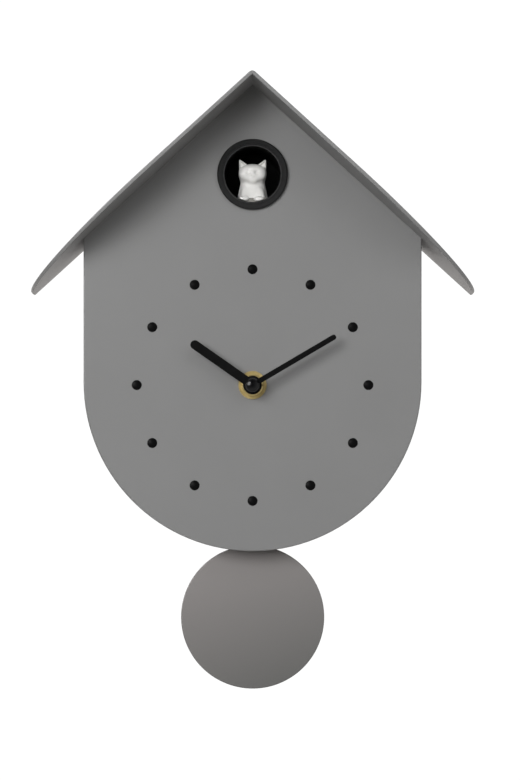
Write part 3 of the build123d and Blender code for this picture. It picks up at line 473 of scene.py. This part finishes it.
def within(first, second, reach):
    """What two forms share, with a soft edge of about reach."""
    return -joined(-first, -second, reach)


def carved(form, tool, reach):
    """A form with a soft hollow where the tool was."""
    return within(form, -tool, reach)


def fin(points, corners, middle, thick, reach):
    """Distance to a flat plate that faces the front, its corners given as (x, z) anticlockwise."""
    plate = np.abs(points[..., 1] - middle) - thick
    for (x, z), (u, w) in zip(corners, corners[1:] + corners[:1]):
        side = (points[..., 0] - x) * (w - z) - (points[..., 2] - z) * (u - x)
        plate = within(plate, side / math.hypot(u - x, w - z), reach)
    return plate


def surface_net(distance, low, high, step):
    """Points and quads on the zero level of a distance function, inside a box."""
    axes = [np.arange(a, b + step, step) for a, b in zip(low, high)]
    grid = np.stack(np.meshgrid(*axes, indexing="ij"), -1)
    field = distance(grid)
    inside = field < 0
    cells = [n - 1 for n in field.shape]
    total = np.zeros((*cells, 3))
    count = np.zeros(cells)
    crossings = []
    for axis in range(3):
        first = np.moveaxis(field, axis, 0)[:-1]
        second = np.moveaxis(field, axis, 0)[1:]
        cross = (first < 0) != (second < 0)
        share = np.where(cross, first / np.where(cross, first - second, 1.0), 0.0)
        spot = np.moveaxis(grid, axis, 0)[:-1].copy()
        spot[..., axis] += share * step
        crossings.append(cross)
        _, rows, columns = cross.shape
        for i in (0, 1):
            for j in (0, 1):
                pick = (slice(None), slice(i, i + rows - 1), slice(j, j + columns - 1))
                np.moveaxis(count, axis, 0)[...] += cross[pick]
                np.moveaxis(total, axis, 0)[...] += spot[pick] * cross[pick][..., None]
    used = count > 0
    number = np.full(cells, -1)
    number[used] = np.arange(used.sum())
    points = total[used] / count[used][:, None]
    quads = []
    for axis in range(3):
        cross = crossings[axis][:, 1:-1, 1:-1]
        near = np.moveaxis(number, axis, 0)
        corners = [near[:, :-1, :-1], near[:, 1:, :-1], near[:, 1:, 1:], near[:, :-1, 1:]]
        corners = np.stack(corners, -1)
        outward = np.moveaxis(inside, axis, 0)[:-1, 1:-1, 1:-1] == (axis != 1)
        faces = np.where(outward[..., None], corners, corners[..., ::-1])
        quads.append(faces[cross])
    return points, np.concatenate(quads)


def settled(distance, points, rounds=3, probe=0.02):
    """Points moved along the slope of a distance function on to its zero level."""
    for _ in range(rounds):
        value = distance(points)
        rises = [distance(points + probe * way) - value for way in np.eye(3)]
        slope = np.stack(rises, -1) / probe
        points = points - slope * (value / np.maximum((slope ** 2).sum(-1), 1e-6))[:, None]
    return points


def sculpted(distance, low, high, step):
    """Points and quads of the form that a distance function describes, inside a box."""
    points, quads = surface_net(distance, low, high, step)
    return settled(distance, points), quads


def new_piece(name, points, faces, material, body):
    """A smooth mesh piece that rides on a body."""
    mesh = bpy.data.meshes.new(name)
    mesh.from_pydata(points.tolist(), [], faces.tolist())
    mesh.validate()
    mesh.shade_smooth()
    mesh.materials.append(material)
    piece = bpy.data.objects.new(name, mesh)
    scene.collection.objects.link(piece)
    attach(piece, body)
    return piece


# Cat: sizes in millimetres from the middle of its seat, y running back and z up

CAT_LOW, CAT_HIGH = (-9.6, -11.4, -2.98), (9.6, 9.8, 22.4)
CAT_STEP = 0.26
CAT_SEAT = 8.8             # cat's middle behind the nose of the sled
SLED_GAP = 0.06            # between the paws and the nose of the sled
WINDOW_RISE = 12.9         # window's centre above the seat
CAT_REACH = 15.0           # from the window's centre

# Rounded forms of the head: centre, radii, and the fillet to the rest. Cheeks and eyes are paired.
SKULL = ((0, -1.0, 13.5), (7.7, 6.5, 5.3))
FOREHEAD = ((0, -2.2, 15.5), (7.3, 5.0, 3.5), 1.5)
CHEEK = ((3.6, -4.6, 12.9), (2.9, 2.2, 2.3), 2.6)
MUZZLE = ((0.1, -6.3, 10.6), (2.4, 1.9, 2.0), 2.4)
BRIDGE = ((0, -5.9, 14.2), (1.4, 1.3, 2.5), 1.8)
EYE_HOLLOW = ((2.4, -7.7, 14.3), (1.2, 1.3, 1.0), 1.4)
NOSE = ((0, -8.4, 11.7), (0.75, 0.5, 0.4), 0.7)

# Ears: corners as (x, z), on both sides
EAR = [(1.8, 18.3), (7.4, 14.2), (7.55, 22.5)]
EAR_HOLLOW = [(3.5, 18.5), (6.7, 16.1), (6.9, 21.0)]
EAR_MIDDLE, EAR_THICK, EAR_DEPTH = 0.2, 1.3, 1.5
EAR_ROUND, EAR_HOLLOW_ROUND, EAR_RIM_ROUND, EAR_FILLET = 1.2, 0.5, 0.4, 0.5

# Limbs: two ends, then the radius at each
TRUNK = ((0, 0.6, 0.5), (0, 2.2, 9.6), 8.45, 6.6)
TRUNK_FLAT = 1.05
FORELEG = ((4.3, -5.0, 3.4), (4.9, -6.8, 0.8), 1.6, 1.9)
LEG_FILLET, NECK_FILLET = 2.5, 2.6
TAIL = [(0, 7.5, 1.7), (4.0, 6.9, 1.5), (6.5, 4.2, 1.4), (7.2, 1.0, 1.2)]
TAIL_RADII = [1.5, 1.3, 1.15, 0.85]
TAIL_FILLET, TAIL_ROOT_FILLET = 0.3, 0.5

# Fore paws: middles as (x, z), with two grooves between the toes of each
PAWS = [(-4.75, -0.35), (3.4, -0.6)]
PAW_FRONT = -8.5
PAW_RADII = (2.95, 2.3, 1.5)
PAW_FILLET = 0.6
TOE_GAP = 0.95
TOE_FOOT, TOE_TOP = (-10.9, -1.2), (-10.2, 1.5)        # y, and z from the paw's middle
TOE_RADIUS, TOE_ROUND = 0.15, 0.3


def cat_head(points, mirrored):
    def form(places, shape):
        centre, radii, fillet = shape
        return ball(places, centre, radii), fillet

    head = ball(points, *SKULL)
    head = joined(head, *form(points, FOREHEAD))
    head = joined(head, *form(mirrored, CHEEK))
    head = joined(head, *form(points, MUZZLE))
    head = joined(head, *form(points, BRIDGE))
    head = carved(head, *form(mirrored, EYE_HOLLOW))
    head = joined(head, *form(points, NOSE))
    ear = fin(mirrored, EAR, EAR_MIDDLE, EAR_THICK, EAR_ROUND)
    hollow = fin(mirrored, EAR_HOLLOW, EAR_MIDDLE - EAR_THICK, EAR_DEPTH, EAR_HOLLOW_ROUND)
    return joined(head, carved(ear, hollow, EAR_RIM_ROUND), EAR_FILLET)


def cat_tail(points):
    tail = None
    for start, end, first, last in zip(TAIL, TAIL[1:], TAIL_RADII, TAIL_RADII[1:]):
        piece = limb(points, start, end, first, last)
        tail = piece if tail is None else joined(tail, piece, TAIL_FILLET)
    return tail


def cat_paw(points, x, z):
    paw = ball(points, (x, PAW_FRONT, z), PAW_RADII)
    for toe in (x - TOE_GAP, x + TOE_GAP):
        foot, top = [(toe, y, z + rise) for y, rise in (TOE_FOOT, TOE_TOP)]
        paw = carved(paw, limb(points, foot, top, TOE_RADIUS, TOE_RADIUS), TOE_ROUND)
    return paw


def cat_distance(points):
    """Distance to a sitting cat whose fore paws hang over the nose of its sled."""
    mirrored = points.copy()
    mirrored[..., 0] = np.abs(mirrored[..., 0])
    body = limb(points, *TRUNK, flat=TRUNK_FLAT)
    body = joined(body, limb(mirrored, *FORELEG), LEG_FILLET)
    body = joined(body, cat_tail(points), TAIL_ROOT_FILLET)
    form = joined(body, cat_head(points, mirrored), NECK_FILLET)
    for x, z in PAWS:
        form = joined(form, cat_paw(points, x, z), PAW_FILLET)
    from_window = np.hypot(points[..., 0], points[..., 2] - WINDOW_RISE)
    form = np.maximum(form, from_window - CAT_REACH)
    sled = np.maximum(points[..., 2], -CAT_SEAT - SLED_GAP - points[..., 1])
    return np.maximum(form, -sled)


def sitting_cat():
    points, quads = sculpted(cat_distance, CAT_LOW, CAT_HIGH, CAT_STEP)
    sled_low, sled_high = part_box("figure_sled")
    points = points * MM + (0.0, sled_low.y + CAT_SEAT * MM, sled_high.z)
    glaze = finishes["white_gloss"]
    cat = new_piece("sitting_cat", points, quads, glaze, "figure")
    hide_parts("cat_figure")


# Back screws: sizes in millimetres from the middle of the head, y running out of the board

HEAD_LOW, HEAD_HIGH = (-3.4, -2.6, -3.4), (3.4, 0.3, 3.4)
HEAD_STEP = 0.18
HEAD_DEPTH = 2.4
HEAD_TAPER = 0.8           # radius lost for each millimetre of depth
HEAD_SLANT = 0.78          # cosine of the cone's slope
RECESS_REACH, RECESS_REACH_LEFT = 1.75, 0.35           # at the face, and the share left at the foot
RECESS_WIDTH, RECESS_WIDTH_LEFT = 0.34, 0.6
RECESS_DEPTH = 1.5
RECESS_ROUND = 0.12
WELD = 0.01 * MM           # corners nearer than this are one


def screw_head(radius):
    """Distance to a countersunk head with a cross recess, its face at y = 0."""
    def distance(points):
        x, y, z = np.moveaxis(points, -1, 0)
        cone = (np.hypot(x, z) - radius - np.minimum(y, 0.0) * HEAD_TAPER) * HEAD_SLANT
        head = np.maximum(np.maximum(cone, y), -HEAD_DEPTH - y)
        rise = (y + RECESS_DEPTH) / RECESS_DEPTH
        reach = RECESS_REACH * (RECESS_REACH_LEFT + (1 - RECESS_REACH_LEFT) * rise)
        width = RECESS_WIDTH * (RECESS_WIDTH_LEFT + (1 - RECESS_WIDTH_LEFT) * rise)
        level = np.maximum(np.abs(x) - reach, np.abs(z) - width)
        upright = np.maximum(np.abs(z) - reach, np.abs(x) - width)
        cross = np.minimum(level, upright)
        return carved(head, np.maximum(cross, -RECESS_DEPTH - y), RECESS_ROUND)
    return distance


def islands(node):
    """Boxes of the separate solids in a node, as (low, high) pairs."""
    mesh = nodes[node].data
    spots = np.array([tuple(v.co) for v in mesh.vertices])
    _, owner = np.unique(np.round(spots / WELD).astype(int), axis=0, return_inverse=True)
    owner = owner.ravel()
    root = list(range(owner.max() + 1))

    def find(n):
        while root[n] != n:
            root[n] = root[root[n]]
            n = root[n]
        return n

    for face in mesh.polygons:
        first = find(owner[face.vertices[0]])
        for corner in face.vertices[1:]:
            root[find(owner[corner])] = first
    group = np.array([find(n) for n in owner])
    return [(spots[group == g].min(0), spots[group == g].max(0)) for g in sorted(set(group))]


def crossed_screws():
    heads = islands("back_screws")
    low, high = heads[0]
    field = screw_head((high[0] - low[0]) / 2 / MM)
    points, quads = sculpted(field, HEAD_LOW, HEAD_HIGH, HEAD_STEP)
    spots, faces = [], []
    for low, high in heads:
        middle = (low + high) / 2
        faces.append(quads + len(points) * len(spots))
        spots.append(points * MM + (middle[0], high[1], middle[2]))
    spots, faces = np.concatenate(spots), np.concatenate(faces)
    screws = new_piece("crossed_screws", spots, faces, finishes["steel"], "case")
    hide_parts("back_screws")


sitting_cat()
crossed_screws()


# Light, floor and camera

def white_room():
    """White behind the object, and walls of soft light all round it."""
    world = bpy.data.worlds.new("studio")
    scene.world = world
    world.use_nodes = True
    tree = world.node_tree
    tree.nodes.clear()

    def add(kind, operation=None):
        node = tree.nodes.new(kind)
        if operation:
            node.operation = operation
        return node

    def wall(axis, strength, tint):
        """Light that falls off by a power of the cosine from an axis."""
        facing = add("ShaderNodeVectorMath", "DOT_PRODUCT")
        facing.inputs[1].default_value = axis
        tree.links.new(way, facing.inputs[0])
        front = add("ShaderNodeMath", "MAXIMUM")
        front.inputs[1].default_value = 0.0
        tree.links.new(facing.outputs["Value"], front.inputs[0])
        soft = add("ShaderNodeMath", "POWER")
        soft.inputs[1].default_value = WALL_FALL
        tree.links.new(front.outputs[0], soft.inputs[0])
        light = add("ShaderNodeVectorMath", "SCALE")
        light.inputs[0].default_value = [strength * c for c in tint]
        tree.links.new(soft.outputs[0], light.inputs["Scale"])
        return light.outputs[0]

    def added(first, second):
        both = add("ShaderNodeVectorMath", "ADD")
        tree.links.new(first, both.inputs[0])
        tree.links.new(second, both.inputs[1])
        return both.outputs[0]

    way = add("ShaderNodeTexCoord").outputs["Generated"]
    ray = add("ShaderNodeLightPath").outputs
    total = wall(*ROOM_WALLS[0])
    for setting in ROOM_WALLS[1:]:
        total = added(total, wall(*setting))
    room = add("ShaderNodeBackground")
    tree.links.new(total, room.inputs["Color"])
    backdrop = add("ShaderNodeBackground")
    backdrop.inputs["Color"].default_value = (1, 1, 1, 1)
    backdrop.inputs["Strength"].default_value = BACKDROP_STRENGTH
    mix = add("ShaderNodeMixShader")
    tree.links.new(ray["Is Camera Ray"], mix.inputs[0])
    tree.links.new(room.outputs[0], mix.inputs[1])
    tree.links.new(backdrop.outputs[0], mix.inputs[2])
    tree.links.new(mix.outputs[0], add("ShaderNodeOutputWorld").inputs["Surface"])


def soft_box(name, right, up, size, power, shown):
    """A square area light at two angles from the camera's side, aimed at the hands' axis."""
    right, up = math.radians(right), math.radians(up)
    level = math.cos(up)
    way = Vector((math.sin(right) * level, -math.cos(right) * level, math.sin(up)))
    lamp = bpy.data.lights.new(name, "AREA")
    lamp.size = size
    lamp.energy = power
    box = bpy.data.objects.new(name, lamp)
    box.location = hub + way * SOFT_BOX_REACH
    box.rotation_euler = (-way).to_track_quat("-Z", "Y").to_euler()
    box.visible_glossy = shown == "gloss"
    box.visible_diffuse = shown == "diffuse"
    scene.collection.objects.link(box)


def pale_floor():
    """A round pale floor under the hanging clock."""
    mesh = bpy.data.meshes.new("floor")
    builder = bmesh.new()
    bmesh.ops.create_circle(builder, cap_ends=True, segments=FLOOR_SIDES, radius=FLOOR_RADIUS)
    builder.to_mesh(mesh)
    builder.free()
    floor = bpy.data.objects.new("floor", mesh)
    floor.location = (0, 0, cad_box[0].z - FLOOR_DROP)
    glow = dict(Emission_Color=(1, 1, 1, 1), Emission_Strength=FLOOR_GLOW)
    paint = Finish("floor_white", FLOOR_WHITE, roughness=0.7, **glow)
    paint.tint(paint.noise(grain=0.3, detail=3.0), dark=0.98, light=1.0)
    mesh.materials.append(paint.material)
    floor.visible_diffuse = False
    floor.visible_glossy = False
    floor.visible_shadow = False
    scene.collection.objects.link(floor)


def photograph_camera():
    camera = bpy.data.objects.new("camera", bpy.data.cameras.new("camera"))
    camera.data.lens = CAMERA_LENS
    camera.data.sensor_width = SENSOR_LONG_SIDE
    camera.location = CAMERA_PLACE
    camera.rotation_euler = (math.pi / 2, 0, 0)
    scene.collection.objects.link(camera)
    scene.camera = camera


white_room()
for name, setting in SOFT_BOXES.items():
    soft_box(name, *setting)
pale_floor()
photograph_camera()
scene.view_settings.view_transform = "Standard"
